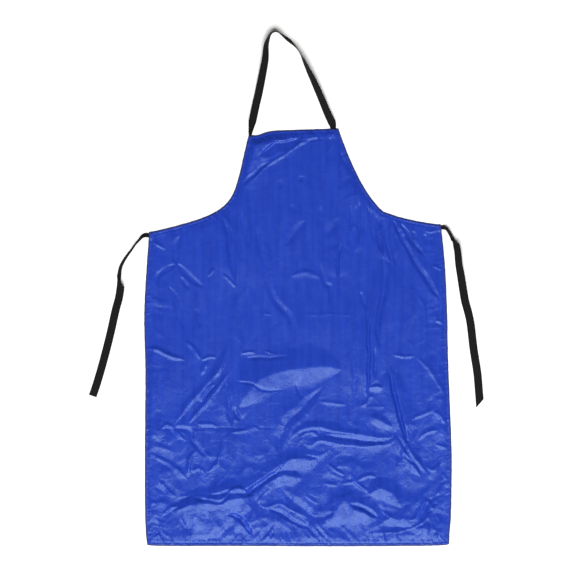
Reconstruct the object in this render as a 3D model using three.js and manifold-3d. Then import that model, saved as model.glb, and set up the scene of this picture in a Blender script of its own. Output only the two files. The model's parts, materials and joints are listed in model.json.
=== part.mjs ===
// A waterproof bib apron of coated cloth, laid out flat on its back: one cut panel with its
// edges turned under and stitched, a neck strap and two waist ties of woven tape.
// Millimetres, +Z up out of the front of the cloth, +Y towards the neck. The origin is under
// the middle of the panel, on the surface that the apron lies on.
import * as THREE from "three";
import { mergeVertices } from "three/addons/utils/BufferGeometryUtils.js";
import Module from "manifold-3d";

const wasm = await Module();
wasm.setup();

// Driving dimensions of the cut panel.
const PANEL_WIDTH = 752; // across the widest part of the skirt
const PANEL_LENGTH = 1023; // from the top of the bib to the skirt hem
const BIB_WIDTH = 217; // along the top edge, as gathered by its hem
const WAIST_TAPER = 19; // each side comes in by this much at the waist corners
const ARMHOLE_DROP = 246; // from the top of the bib down to the waist corners
const SKIRT_TAPER = 8; // and by this much at the bottom edge

// How far this copy lies from the symmetrical pattern.
const BIB_SHIFT = -11; // the bib leans towards the left side
const BIB_DROP = 17; // the left end of the bib lies lower than the right end
const WAIST_SHIFT = -7;
const WAIST_DROP = 10; // the left waist corner is this much lower, the right one higher
const SKIRT_CORNER_RISE = 8; // the skirt's two corners are pulled up by their seams

// Points that the edges pass through or bend towards, each measured from a corner: [x, y].
const RIGHT_KINK = [-138, 28]; // from the waist corner in to where the armhole turns up
const RIGHT_PULL = { kink: [-57, 44], bib: [14, -46] };
const LEFT_PULL = { bib: [-44, -172], waist: [233, 51] };
const BIB_SAG = { right: [-92, -3], middle: [-160, -6], left: [20, 1] };
const SKIRT_SAG = { left: [30, 1 - SKIRT_CORNER_RISE], right: [-42, -SKIRT_CORNER_RISE] };

// The sides swell to the full width at these heights, above the bottom edge on the right and
// below the waist on the left, and come in a little at the second height.
const RIGHT_SWELL = { at: 232, then: 470, in: 10 };
const LEFT_SWELL = { at: 200, then: 425, in: 5 };

// Layers.
const CLOTH = 0.4; // one layer of coated cloth
const TURN = 1; // the cloth turned under twice, as it lies in a hem
const TAPE_WIDTH = 20;
const TAPE = 1; // thickness of the woven tape
const THREAD = 0.4; // a row of stitches
const GAP = 0.3; // left between pieces that touch

// Hems and seams.
const BIB_HEM = 29;
const EDGE_HEM = 10; // armholes, sides and skirt
const SEAM_INSET = 2; // from a hem's inner edge out to its row of stitches
const SEAM_START = 2; // from the end of a hem to the first stitch

// Tape ends.
const NECK_SEWN = 22; // length of neck strap caught in the bib hem
const TIE_SEWN = 7; // length of tie caught in the side hem
const SEAT_MARGIN = 1; // from a corner of the panel to the edge of the tape
const FOLD_OUT = 0.6; // from the edge of the cloth out to the line where the tape folds
const TACK_INSET = 3; // from the outline of a sewn end in to its box of tack stitches
const RIGHT_TIE_SLANT = 45; // degrees, the cut across the right tie's end

// Steps along curved pieces.
const CURVE_STEPS = 14;
const TAPE_STEPS = 2;

const RIM_BOTTOM = Math.max(TURN, TAPE) + GAP;
const RIM_TOP = RIM_BOTTOM + CLOTH;
const STITCH_BOTTOM = RIM_TOP + GAP;
const FAR = 2000; // longer than the apron, for cutting
const STRAIGHT = 1e-4; // sine of an angle too small to mitre
const FINE = 200; // steps for measuring along an edge

// The neck strap's line from its left seam round to its right one: [x, y, lean]. Lean is the
// angle in degrees between the tape's width and the surface: 0 lies flat, 90 stands on edge.
const NECK_ROUTE = [
  [-109, 496, 0],
  [-110, 501, 4],
  [-113, 510, 12],
  [-113, 522, 18],
  [-110, 536, 18],
  [-104, 565, 10],
  [-97, 595, 10],
  [-91, 624, 16],
  [-85, 654, 25],
  [-80, 683, 34],
  [-78, 712, 52],
  [-74, 727, 66],
  [-67, 742, 82],
  [-57, 748, 88],
  [-47, 745, 96],
  [-37, 738, 106],
  [-24, 728, 118],
  [-12, 717, 108],
  [-3, 707, 98],
  [7, 691, 88],
  [14, 677, 74],
  [27, 650, 57],
  [37, 630, 46],
  [47, 608, 38],
  [59, 580, 33],
  [71, 551, 27],
  [81, 530, 18],
  [85, 520, 6],
  [86, 513, 0],
];

// The waist ties' lines from their seams to their free ends, in the same way.
const LEFT_TIE_ROUTE = [
  [-366, 245, 0],
  [-370, 245, 8],
  [-375, 245, 20],
  [-381, 243, 38],
  [-387, 238, 58],
  [-393, 232, 68],
  [-399, 226, 72],
  [-409, 212, 70],
  [-419, 198, 66],
  [-428, 183, 62],
  [-434, 168, 57],
  [-437, 149, 49],
  [-437, 124, 31],
  [-440, 95, 10],
  [-447, 65, 4],
  [-460, 7, 3],
  [-475, -52, 3],
  [-491, -108, 3],
  [-503, -144, 3],
];
const RIGHT_TIE_ROUTE = [
  [352, 265, 0],
  [357, 266, 8],
  [362, 266, 20],
  [367, 263, 40],
  [373, 256, 60],
  [378, 247, 66],
  [382, 238, 64],
  [387, 225, 56],
  [391, 208, 50],
  [395, 178, 33],
  [399, 149, 21],
  [404, 119, 8],
  [409, 90, 3],
  [417, 60, 3],
  [423, 31, 3],
  [430, -28, 3],
  [439, -86, 3],
  [443, -130, 3],
  [446, -168, 3],
];

const HALF = { width: PANEL_WIDTH / 2, length: PANEL_LENGTH / 2 };
const halfWaist = HALF.width - WAIST_TAPER;
const halfSkirt = HALF.width - SKIRT_TAPER;

const at = (x, y) => new THREE.Vector2(x, y);
const from = (point, [x, y]) => point.clone().add(at(x, y));

// Corners of the panel.
const waistY = HALF.length - ARMHOLE_DROP;
const corner = {
  skirtLeft: at(-halfSkirt, -HALF.length + SKIRT_CORNER_RISE),
  skirtRight: at(halfSkirt, -HALF.length + SKIRT_CORNER_RISE),
  waistLeft: at(WAIST_SHIFT - halfWaist, waistY - WAIST_DROP),
  waistRight: at(WAIST_SHIFT + halfWaist, waistY + WAIST_DROP),
  bibLeft: at(BIB_SHIFT - BIB_WIDTH / 2, HALF.length - BIB_DROP),
  bibRight: at(BIB_SHIFT + BIB_WIDTH / 2, HALF.length),
};

// The edges between the corners, each drawn anticlockwise round the panel.
const edgeLine = {
  skirt: new THREE.SplineCurve([
    corner.skirtLeft,
    from(corner.skirtLeft, SKIRT_SAG.left),
    at(0, -HALF.length),
    from(corner.skirtRight, SKIRT_SAG.right),
    corner.skirtRight,
  ]),
  right_side: new THREE.SplineCurve([
    corner.skirtRight,
    at(HALF.width, RIGHT_SWELL.at - HALF.length),
    at(HALF.width - RIGHT_SWELL.in, RIGHT_SWELL.then - HALF.length),
    corner.waistRight,
  ]),
  right_armhole: rightArmhole(),
  // The gathered top edge sags towards its left end.
  bib: new THREE.SplineCurve([
    corner.bibRight,
    from(corner.bibRight, BIB_SAG.right),
    from(corner.bibRight, BIB_SAG.middle),
    from(corner.bibLeft, BIB_SAG.left),
    corner.bibLeft,
  ]),
  left_armhole: new THREE.CubicBezierCurve(
    corner.bibLeft,
    from(corner.bibLeft, LEFT_PULL.bib),
    from(corner.waistLeft, LEFT_PULL.waist),
    corner.waistLeft,
  ),
  left_side: new THREE.SplineCurve([
    corner.waistLeft,
    at(-HALF.width, waistY - LEFT_SWELL.at),
    at(-HALF.width + LEFT_SWELL.in, waistY - LEFT_SWELL.then),
    corner.skirtLeft,
  ]),
};

// Nearly straight in from the waist, then a steep curve up beside the bib.
function rightArmhole() {
  const kink = from(corner.waistRight, RIGHT_KINK);
  const line = new THREE.CurvePath();
  line.add(new THREE.LineCurve(corner.waistRight, kink));
  line.add(
    new THREE.CubicBezierCurve(
      kink,
      from(kink, RIGHT_PULL.kink),
      from(corner.bibRight, RIGHT_PULL.bib),
      corner.bibRight,
    ),
  );
  return line;
}

// The points along part of an edge, between two shares of its length.
function along(edge, first = 0, last = 1) {
  const points = [];
  for (let i = 0; i <= CURVE_STEPS; i += 1) {
    points.push(edgeLine[edge].getPointAt(first + ((last - first) * i) / CURVE_STEPS));
  }
  return points;
}

// The bib hem reaches down both armhole edges by its own depth. Below that line is the
// main part of the panel: a loop of points, each with the edge that it starts.
const rightTurn = 1 - BIB_HEM / edgeLine.right_armhole.getLength();
const leftTurn = BIB_HEM / edgeLine.left_armhole.getLength();
const mainLoop = [];
function addEdge(edge, points) {
  points.slice(0, -1).forEach((point) => mainLoop.push({ point, edge }));
}
addEdge("skirt", along("skirt"));
addEdge("right_side", along("right_side"));
addEdge("right_armhole", along("right_armhole", 0, rightTurn));
addEdge("bib_line", [
  edgeLine.right_armhole.getPointAt(rightTurn),
  edgeLine.left_armhole.getPointAt(leftTurn),
]);
addEdge("left_armhole", along("left_armhole", leftTurn, 1));
addEdge("left_side", along("left_side"));

const bibEdge = along("bib");
const bibOutline = [
  edgeLine.right_armhole.getPointAt(rightTurn),
  ...bibEdge,
  edgeLine.left_armhole.getPointAt(leftTurn),
];
const panelOutline = mainLoop.flatMap(({ point, edge }) =>
  edge === "bib_line" ? [point, ...bibEdge] : [point],
);

// The main loop with each edge moved inwards by its own distance and the corners mitred.
function inset(distanceOf) {
  const count = mainLoop.length;
  return mainLoop.map(({ point, edge }, i) => {
    const before = mainLoop[(i + count - 1) % count];
    const after = mainLoop[(i + 1) % count];
    const inwards = [
      [before.point, point],
      [point, after.point],
    ].map(([a, b]) => at(a.y - b.y, b.x - a.x).normalize());
    const [first, second] = inwards;
    const distance = [distanceOf(before.edge), distanceOf(edge)];
    const turn = first.cross(second);
    if (Math.abs(turn) < STRAIGHT) return point.clone().addScaledVector(first, distance[0]);
    const x = (distance[0] * second.y - distance[1] * first.y) / turn;
    const y = (distance[1] * first.x - distance[0] * second.x) / turn;
    return at(point.x + x, point.y + y);
  });
}

function plate(points, bottom, top) {
  const flat = new THREE.ExtrudeGeometry(new THREE.Shape(points), {
    depth: top - bottom,
    bevelEnabled: false,
  });
  return flat.translate(0, 0, bottom);
}

// A strip that runs along one edge between two distances from it. `ends` gives the distance
// from each neighbouring edge where the strip stops.
function strip(edge, near, far, ends, bottom, top) {
  const side = (distance) => {
    const moved = inset((e) => (e === edge ? distance : (ends[e] ?? 0)));
    const start = mainLoop.findIndex((vertex) => vertex.edge === edge);
    const count = mainLoop.filter((vertex) => vertex.edge === edge).length;
    return Array.from({ length: count + 1 }, (_, i) => moved[(start + i) % moved.length]);
  };
  return plate([...side(near), ...side(far).reverse()], bottom, top);
}

function solidOf(geometry) {
  const bare = geometry.clone();
  bare.deleteAttribute("normal");
  bare.deleteAttribute("uv");
  const merged = mergeVertices(bare, 1e-4);
  return new wasm.Manifold(
    new wasm.Mesh({
      numProp: 3,
      vertProperties: merged.attributes.position.array,
      triVerts: new Uint32Array(merged.index.array),
    }),
  );
}

function geometryOf(solid) {
  const { numProp, vertProperties, triVerts } = solid.getMesh();
  const geometry = new THREE.BufferGeometry();
  const places = new THREE.InterleavedBuffer(vertProperties, numProp);
  geometry.setAttribute("position", new THREE.InterleavedBufferAttribute(places, 3, 0));
  geometry.setIndex(new THREE.BufferAttribute(triVerts, 1));
  return geometry.toNonIndexed();
}

// Where a tape is sewn: a point on the line that it folds about, and the way it leaves.
function seat(place, outwards) {
  return { place: place.clone().addScaledVector(outwards, FOLD_OUT), outwards };
}

// How far a line of edge points reaches past a straight line, within a tape's width of a spot.
function reach(points, spot, outwards) {
  const beside = at(outwards.y, -outwards.x);
  const near = points
    .map((point) => point.clone().sub(spot))
    .filter((offset) => Math.abs(offset.dot(beside)) < TAPE_WIDTH / 2 + GAP);
  return Math.max(0, ...near.map((offset) => offset.dot(outwards)));
}

// A row of points closer together than the outline's own, to measure along.
const fine = (line) => line.getSpacedPoints(FINE);

const neckSeats = (() => {
  const inFromCorner = (TAPE_WIDTH / 2 + SEAT_MARGIN) / edgeLine.bib.getLength();
  const left = edgeLine.bib.getPointAt(1 - inFromCorner);
  const right = edgeLine.bib.getPointAt(inFromCorner);
  const fold = right.clone().sub(left).normalize();
  const outwards = at(-fold.y, fold.x);
  const edge = fine(edgeLine.bib);
  const past = Math.max(reach(edge, left, outwards), reach(edge, right, outwards));
  return [left, right].map((spot) => seat(spot.addScaledVector(outwards, past), outwards));
})();

// The ties leave square to the panel's length, just below the waist corners.
function tieSeat(line, share, outwards) {
  const spot = line.getPointAt(share);
  return seat(spot.addScaledVector(outwards, reach(fine(line), spot, outwards)), outwards);
}
const belowWaist = (line) => (TAPE_WIDTH / 2 + SEAT_MARGIN) / line.getLength();
const { left_side: leftSide, right_side: rightSide } = edgeLine;
const leftTieSeat = tieSeat(leftSide, belowWaist(leftSide), at(-1, 0));
const rightTieSeat = tieSeat(rightSide, 1 - belowWaist(rightSide), at(1, 0));

// A box that reaches in from a seat over the panel, as wide as the tape plus `spare` a side.
function boxAtSeat({ place, outwards }, { near, far, spare, bottom, top }) {
  const box = new THREE.BoxGeometry(far - near, TAPE_WIDTH + 2 * spare, top - bottom);
  box.translate(-(near + far) / 2, 0, (bottom + top) / 2);
  box.rotateZ(outwards.angle());
  return box.translate(place.x, place.y, 0);
}

// A sewn tape end stops a gap short of the line that the free tape folds about.
const sewnEnd = (where, length) =>
  boxAtSeat(where, { near: GAP, far: GAP + FOLD_OUT + length, spare: 0, bottom: 0, top: TAPE });

const room = (where, length) =>
  solidOf(
    boxAtSeat(where, {
      near: -EDGE_HEM,
      far: 2 * GAP + FOLD_OUT + length,
      spare: GAP,
      bottom: -GAP,
      top: RIM_BOTTOM,
    }),
  );

// A closed box of tack stitches over a sewn end.
function tack(where, length) {
  const size = { spare: -TACK_INSET, bottom: STITCH_BOTTOM, top: STITCH_BOTTOM + THREAD };
  const near = FOLD_OUT + TACK_INSET / 2;
  const far = FOLD_OUT + length - TACK_INSET / 2;
  const outer = boxAtSeat(where, { ...size, near, far });
  const inner = boxAtSeat(where, {
    near: near + THREAD,
    far: far - THREAD,
    spare: -TACK_INSET - THREAD,
    bottom: 0,
    top: size.top + GAP,
  });
  return geometryOf(solidOf(outer).subtract(solidOf(inner)));
}

// The panel: its middle lies on the surface and its rim is raised over the hems.
function panel() {
  const rimInner = EDGE_HEM + GAP;
  const distance = (extra) => (edge) => (edge === "bib_line" ? GAP : rimInner) + extra;
  const rim = solidOf(plate(panelOutline, RIM_BOTTOM, RIM_TOP));
  const tray = solidOf(plate(inset(distance(0)), 0, RIM_TOP));
  const hollow = solidOf(plate(inset(distance(CLOTH)), CLOTH, RIM_TOP + GAP));
  return geometryOf(rim.add(tray).subtract(hollow));
}

// A hem is the cloth turned under an edge, with room left for the tape ends caught in it.
function hem(geometry, seats = []) {
  const cut = seats.reduce(
    (solid, [where, length]) => solid.subtract(room(where, length)),
    solidOf(geometry),
  );
  return geometryOf(cut);
}

const neckRooms = neckSeats.map((where) => [where, NECK_SEWN]);
const beyondHem = EDGE_HEM + GAP;
const edgeHem = (edge, ends, seats) =>
  hem(strip(edge, 0, EDGE_HEM, { bib_line: GAP, ...ends }, 0, TURN), seats);

// A row of stitches along a hem, at a distance from its edge, with ends as for a strip.
const seamLine = EDGE_HEM - SEAM_INSET - THREAD;
const beyondSeam = seamLine + THREAD + GAP;
function seam(edge, distance, ends) {
  const top = STITCH_BOTTOM + THREAD;
  return strip(edge, distance, distance + THREAD, ends, STITCH_BOTTOM, top);
}

// The route with its ends drawn onto their seats. The shift fades out along the tape, so a
// free end moves with its own seat.
function seated(route, start, end = start) {
  const shift = (where, [x, y]) =>
    where.place.clone().addScaledVector(where.outwards, GAP).sub(at(x, y));
  const first = shift(start, route[0]);
  const last = end === start ? first : shift(end, route.at(-1));
  return route.map(([x, y, lean], i) => {
    const moved = first.clone().lerp(last, i / (route.length - 1));
    return new THREE.Vector3(x + moved.x, y + moved.y, lean);
  });
}

// A length of tape along a route, its lower edge on the surface all the way.
function tape(points, startFold, endFold) {
  const line = new THREE.CatmullRomCurve3(points, false, "catmullrom", 0.5);
  const steps = (points.length - 1) * TAPE_STEPS;
  const ribbon = new THREE.BoxGeometry(1, TAPE_WIDTH, TAPE, steps, 1, 1);
  const vertex = ribbon.getAttribute("position");
  for (let i = 0; i < vertex.count; i += 1) {
    const share = THREE.MathUtils.clamp(vertex.getX(i) + 0.5, 0, 1);
    const middle = line.getPoint(share);
    const heading = line.getTangent(share);
    const ahead = at(heading.x, heading.y).normalize();
    if (share === 0) ahead.copy(startFold);
    if (share === 1 && endFold) ahead.copy(endFold).negate();
    const lean = THREE.MathUtils.degToRad(middle.z);
    const across = vertex.getY(i);
    const through = vertex.getZ(i);
    const sideways = across * Math.cos(lean) - through * Math.sin(lean);
    const lift = (TAPE_WIDTH * Math.abs(Math.sin(lean)) + TAPE * Math.abs(Math.cos(lean))) / 2;
    const height = lift + across * Math.sin(lean) + through * Math.cos(lean);
    vertex.setXYZ(i, middle.x - ahead.y * sideways, middle.y + ahead.x * sideways, height);
  }
  return ribbon;
}

// The right tie's end is cut off at a slant, from a point near its outer edge.
function slantCut(geometry, points) {
  const [before, end] = points.slice(-2);
  const knife = new THREE.BoxGeometry(FAR, FAR, FAR);
  knife.translate(FAR / 2, 0, 0);
  knife.rotateZ(Math.atan2(end.y - before.y, end.x - before.x));
  knife.rotateZ(THREE.MathUtils.degToRad(RIGHT_TIE_SLANT));
  const back = new THREE.Vector3().subVectors(before, end).setZ(0).setLength(TAPE_WIDTH / 2);
  knife.translate(end.x + back.x, end.y + back.y, 0);
  return geometryOf(solidOf(geometry).subtract(solidOf(knife)));
}

function neckStrap() {
  const [left, right] = neckSeats;
  return tape(seated(NECK_ROUTE, left, right), left.outwards, right.outwards);
}

function rightTie() {
  const points = seated(RIGHT_TIE_ROUTE, rightTieSeat);
  return slantCut(tape(points, rightTieSeat.outwards), points);
}

const cloth = { color: 0x2e48c0, roughness: 0.35, metalness: 0 };
const webbing = { color: 0x191919, roughness: 0.9, metalness: 0 };
const blueThread = { color: 0x24389c, roughness: 0.7, metalness: 0 };

const apron = new THREE.Group();
function add(name, geometry, finish) {
  const mesh = new THREE.Mesh(geometry, new THREE.MeshStandardMaterial(finish));
  mesh.name = name;
  apron.add(mesh);
}

add("body_panel", panel(), cloth);

add("bib_hem", hem(plate(bibOutline, 0, TURN), neckRooms), cloth);
add("left_armhole_hem", edgeHem("left_armhole", { left_side: beyondHem }), cloth);
add("right_armhole_hem", edgeHem("right_armhole", { right_side: beyondHem }), cloth);
add("left_side_hem", edgeHem("left_side", { skirt: beyondHem }, [[leftTieSeat, TIE_SEWN]]), cloth);
add("right_side_hem", edgeHem("right_side", { skirt: beyondHem }, [[rightTieSeat, TIE_SEWN]]), cloth);
add("skirt_hem", edgeHem("skirt", {}), cloth);

const bibSeamEnds = { left_armhole: SEAM_START, right_armhole: SEAM_START };
add("bib_seam", seam("bib_line", -SEAM_INSET - THREAD, bibSeamEnds), blueThread);
for (const side of ["left", "right"]) {
  const armholeEnds = { bib_line: SEAM_START, [`${side}_side`]: beyondSeam };
  const sideEnds = { skirt: beyondSeam, [`${side}_armhole`]: SEAM_START };
  add(`${side}_armhole_seam`, seam(`${side}_armhole`, seamLine, armholeEnds), blueThread);
  add(`${side}_side_seam`, seam(`${side}_side`, seamLine, sideEnds), blueThread);
}
const skirtSeamEnds = { left_side: SEAM_START, right_side: SEAM_START };
add("skirt_seam", seam("skirt", seamLine, skirtSeamEnds), blueThread);

const sewn = {
  neck_strap_left: [neckSeats[0], NECK_SEWN],
  neck_strap_right: [neckSeats[1], NECK_SEWN],
  left_tie: [leftTieSeat, TIE_SEWN],
  right_tie: [rightTieSeat, TIE_SEWN],
};
for (const [name, [where, length]] of Object.entries(sewn)) {
  add(`${name}_sewn_end`, sewnEnd(where, length), webbing);
  add(`${name}_tack`, tack(where, length), blueThread);
}

add("neck_strap", neckStrap(), webbing);
add("left_tie", tape(seated(LEFT_TIE_ROUTE, leftTieSeat), leftTieSeat.outwards), webbing);
add("right_tie", rightTie(), webbing);

export default apron;
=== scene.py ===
import json
import math

import bpy
import numpy as np
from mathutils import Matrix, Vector
from mathutils.geometry import delaunay_2d_cdt
from mathutils.kdtree import KDTree

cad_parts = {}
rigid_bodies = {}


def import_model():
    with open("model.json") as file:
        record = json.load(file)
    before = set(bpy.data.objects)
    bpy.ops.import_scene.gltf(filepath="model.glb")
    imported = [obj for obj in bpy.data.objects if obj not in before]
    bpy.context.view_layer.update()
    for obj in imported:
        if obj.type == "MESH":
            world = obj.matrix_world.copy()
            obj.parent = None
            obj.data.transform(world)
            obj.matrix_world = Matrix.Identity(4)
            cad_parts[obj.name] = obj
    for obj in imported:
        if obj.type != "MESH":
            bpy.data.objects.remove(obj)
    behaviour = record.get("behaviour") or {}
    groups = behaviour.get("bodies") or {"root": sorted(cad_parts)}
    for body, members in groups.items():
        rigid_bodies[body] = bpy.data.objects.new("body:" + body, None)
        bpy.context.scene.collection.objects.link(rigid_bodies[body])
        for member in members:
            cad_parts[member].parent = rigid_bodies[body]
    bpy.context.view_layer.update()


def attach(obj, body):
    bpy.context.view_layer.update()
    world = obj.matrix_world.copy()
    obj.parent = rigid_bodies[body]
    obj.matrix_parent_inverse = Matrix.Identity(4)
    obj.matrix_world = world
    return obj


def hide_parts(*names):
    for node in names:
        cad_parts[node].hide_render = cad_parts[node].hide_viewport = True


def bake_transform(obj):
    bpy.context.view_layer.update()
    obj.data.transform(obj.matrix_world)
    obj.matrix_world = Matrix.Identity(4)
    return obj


# A bib apron of thin coated cloth lying flat, with a neck strap and two waist ties of
# black tape. Metres; the front faces up (+Z), and the neck is towards +Y.

for thing in list(bpy.data.objects):
    bpy.data.objects.remove(thing)
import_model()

MM = 0.001

# ---------------------------------------------------------------- camera

VIEW_WIDTH = 1.4112
VIEW_CENTRE = (-0.0245, 0.1207)
CAMERA_HEIGHT = 6.0
SENSOR = 36.0


def set_camera():
    """A long lens straight above the apron, the neck at the top of the view."""
    data = bpy.data.cameras.new("camera")
    data.sensor_width = SENSOR
    data.lens = SENSOR * CAMERA_HEIGHT / VIEW_WIDTH
    data.clip_end = 60.0
    camera = bpy.data.objects.new("camera", data)
    camera.location = (*VIEW_CENTRE, CAMERA_HEIGHT)
    bpy.context.scene.collection.objects.link(camera)
    bpy.context.scene.camera = camera


set_camera()

# ---------------------------------------------------------------- tapes

TAPE_WIDTH = 0.0196
TAPE_THICK = 0.0010
TAPE_STEP = 0.0022
PLEATS = 4
# Where a tape folds lengthwise: half the width of the bend, and of its closer points.
BEND = 0.0011
CLOSE_POINTS = 0.0016
WIDE_POINTS = 0.0022
# A folded half stops short of lying flat on the other.
FOLDED_DEGREES = 174
PLEAT_TURN = 2.16
# Half of the thickness as a share, in the middle, and how much more in the selvedges.
HALF_THICK = 0.46
SELVEDGE_MORE = 0.07
SELVEDGE_WIDE = 0.0022
SELVEDGE_EASE = 0.0012
ROUNDED_SHARE = 0.55
# How far from its seam a tape turns from straight out into its route.
TURNS_OVER = 0.012
OFF_FLOOR = 0.00003

# Rows of x and y in metres, and the degrees that the tape leans over from lying flat.
NECK_ROUTE = [
    (-0.117, 0.4945, 0), (-0.1165, 0.501, 4), (-0.1150, 0.510, 12), (-0.1128, 0.522, 18),
    (-0.110, 0.536, 18), (-0.104, 0.565, 10), (-0.097, 0.595, 10), (-0.091, 0.624, 16),
    (-0.085, 0.654, 25), (-0.080, 0.683, 34), (-0.078, 0.712, 52), (-0.074, 0.727, 66),
    (-0.067, 0.742, 82), (-0.057, 0.748, 88), (-0.047, 0.745, 96), (-0.037, 0.738, 106),
    (-0.024, 0.728, 118), (-0.012, 0.717, 108), (-0.003, 0.707, 98), (0.007, 0.691, 88),
    (0.014, 0.677, 74), (0.027, 0.650, 57), (0.037, 0.630, 46), (0.047, 0.608, 38),
    (0.059, 0.580, 33), (0.071, 0.551, 27), (0.081, 0.530, 18), (0.085, 0.520, 6),
    (0.086, 0.513, 0),
]
LEFT_TIE_ROUTE = [
    (-0.366, 0.2450, 0), (-0.370, 0.2450, 12), (-0.375, 0.2450, 28), (-0.380, 0.2430, 45),
    (-0.385, 0.2385, 60), (-0.391, 0.2325, 68), (-0.397, 0.2260, 72), (-0.4065, 0.2120, 70),
    (-0.4165, 0.1980, 64), (-0.4255, 0.1830, 56), (-0.4315, 0.1680, 46), (-0.4335, 0.1490, 28),
    (-0.4345, 0.1240, 12), (-0.439, 0.0950, 5), (-0.447, 0.0650, 4), (-0.460, 0.0070, 3),
    (-0.475, -0.0520, 3), (-0.491, -0.1080, 3), (-0.503, -0.1440, 3),
]
RIGHT_TIE_ROUTE = [
    (0.352, 0.2735, 0), (0.357, 0.2730, 20), (0.362, 0.2710, 42), (0.367, 0.2670, 54),
    (0.372, 0.2600, 54), (0.376, 0.2535, 50), (0.380, 0.2465, 46), (0.384, 0.2390, 42),
    (0.387, 0.2300, 38), (0.389, 0.2190, 36), (0.391, 0.2080, 35), (0.394, 0.1780, 30),
    (0.399, 0.1490, 21), (0.404, 0.1190, 8), (0.409, 0.0900, 3), (0.417, 0.0600, 3),
    (0.423, 0.0310, 3), (0.430, -0.0280, 3), (0.439, -0.0860, 3), (0.443, -0.1300, 3),
    (0.446, -0.1680, 3),
]

# Where each tape leaves the hem, and the way it goes outwards there.
NECK_OUT = Vector((-0.08535, 0.99635))
SEATS = {
    "neck_left": (Vector((-0.11650, 0.49450)), NECK_OUT),
    "neck_right": (Vector((0.08638, 0.51266)), NECK_OUT),
    "left_tie": (Vector((-0.36600, 0.24454)), Vector((-1.0, 0.0))),
    "right_tie": (Vector((0.35159, 0.27350)), Vector((1.0, 0.0))),
}
NECK_SEWN = 0.022
TIE_SEWN = 0.007


def smooth(share):
    """Eases a share from 0 to 1, flat at both ends."""
    share = np.clip(share, 0.0, 1.0)
    return share * share * (3.0 - 2.0 * share)


def spline(points, step):
    """A Catmull-Rom curve through rows of numbers, sampled about every step of its x and y."""
    rows = np.array(points, float)
    rows = np.vstack([rows[0], rows, rows[-1]])
    found = []
    for a, b, c, d in zip(rows, rows[1:], rows[2:], rows[3:]):
        count = max(1, math.ceil(float(np.hypot(*(c - b)[:2])) / step))
        t = np.arange(count)[:, None] / count
        tangent_b, tangent_c = (c - a) / 2, (d - b) / 2
        found.append(
            (2 * t**3 - 3 * t**2 + 1) * b
            + (t**3 - 2 * t**2 + t) * tangent_b
            + (3 * t**2 - 2 * t**3) * c
            + (t**3 - t**2) * tangent_c
        )
    found.append(rows[-1:])
    return np.vstack(found)


def lengths_along(points):
    """How far along a line of points each one is."""
    return np.concatenate([[0.0], np.cumsum(np.hypot(*np.diff(points[:, :2], axis=0).T))])


def mesh_object(name, vertices, faces, material):
    """A smooth-shaded mesh object in the scene."""
    mesh = bpy.data.meshes.new(name + "_mesh")
    mesh.from_pydata([tuple(v) for v in vertices], [], faces)
    mesh.polygons.foreach_set("use_smooth", [True] * len(mesh.polygons))
    mesh.materials.append(material)
    piece = bpy.data.objects.new(name, mesh)
    bpy.context.scene.collection.objects.link(piece)
    return piece


def tape_section(lean, fold, gather):
    """Points round a tape's cross-section: sideways, up. A fold of 1 laps the left half over
    the right half, and -1 the right half over the left. It is gathered, in small pleats, to
    a share of its width."""
    half = TAPE_WIDTH / 2
    s = np.concatenate([
        np.linspace(-half, -WIDE_POINTS, 13),
        np.linspace(-CLOSE_POINTS, CLOSE_POINTS, 7),
        np.linspace(WIDE_POINTS, half, 13),
    ])
    turn = math.radians(FOLDED_DEGREES) * fold
    share = smooth((s + BEND) / (2 * BEND))
    angle = lean + (turn * share if fold >= 0 else turn * (1 - share))
    pleat = PLEAT_TURN * math.sqrt(max(0.0, 1 - gather))
    angle = angle + pleat * np.sin(2 * math.pi * PLEATS * s / TAPE_WIDTH)
    steps = np.diff(s)
    between = (angle[1:] + angle[:-1]) / 2
    across = np.concatenate([[0.0], np.cumsum(steps * np.cos(between))])
    up = np.concatenate([[0.0], np.cumsum(steps * np.sin(between))])
    middle = len(s) // 2
    across -= across[middle]
    up -= up[middle]
    # The selvedges are a little thicker than the middle, then rounded off.
    in_selvedge = smooth((np.abs(s) - half + SELVEDGE_WIDE) / SELVEDGE_EASE)
    thick = TAPE_THICK * (HALF_THICK + SELVEDGE_MORE * in_selvedge)
    thick *= np.where(np.abs(s) > half - 0.0001, ROUNDED_SHARE, 1.0)
    normal = np.stack([-np.sin(angle), np.cos(angle)], 1)
    line = np.stack([across, up], 1)
    top = line + normal * thick[:, None]
    under = line - normal * thick[:, None]
    round_it = np.vstack([top, under[::-1]])
    share_across = np.concatenate([s, s[::-1]])
    return round_it, share_across


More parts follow.
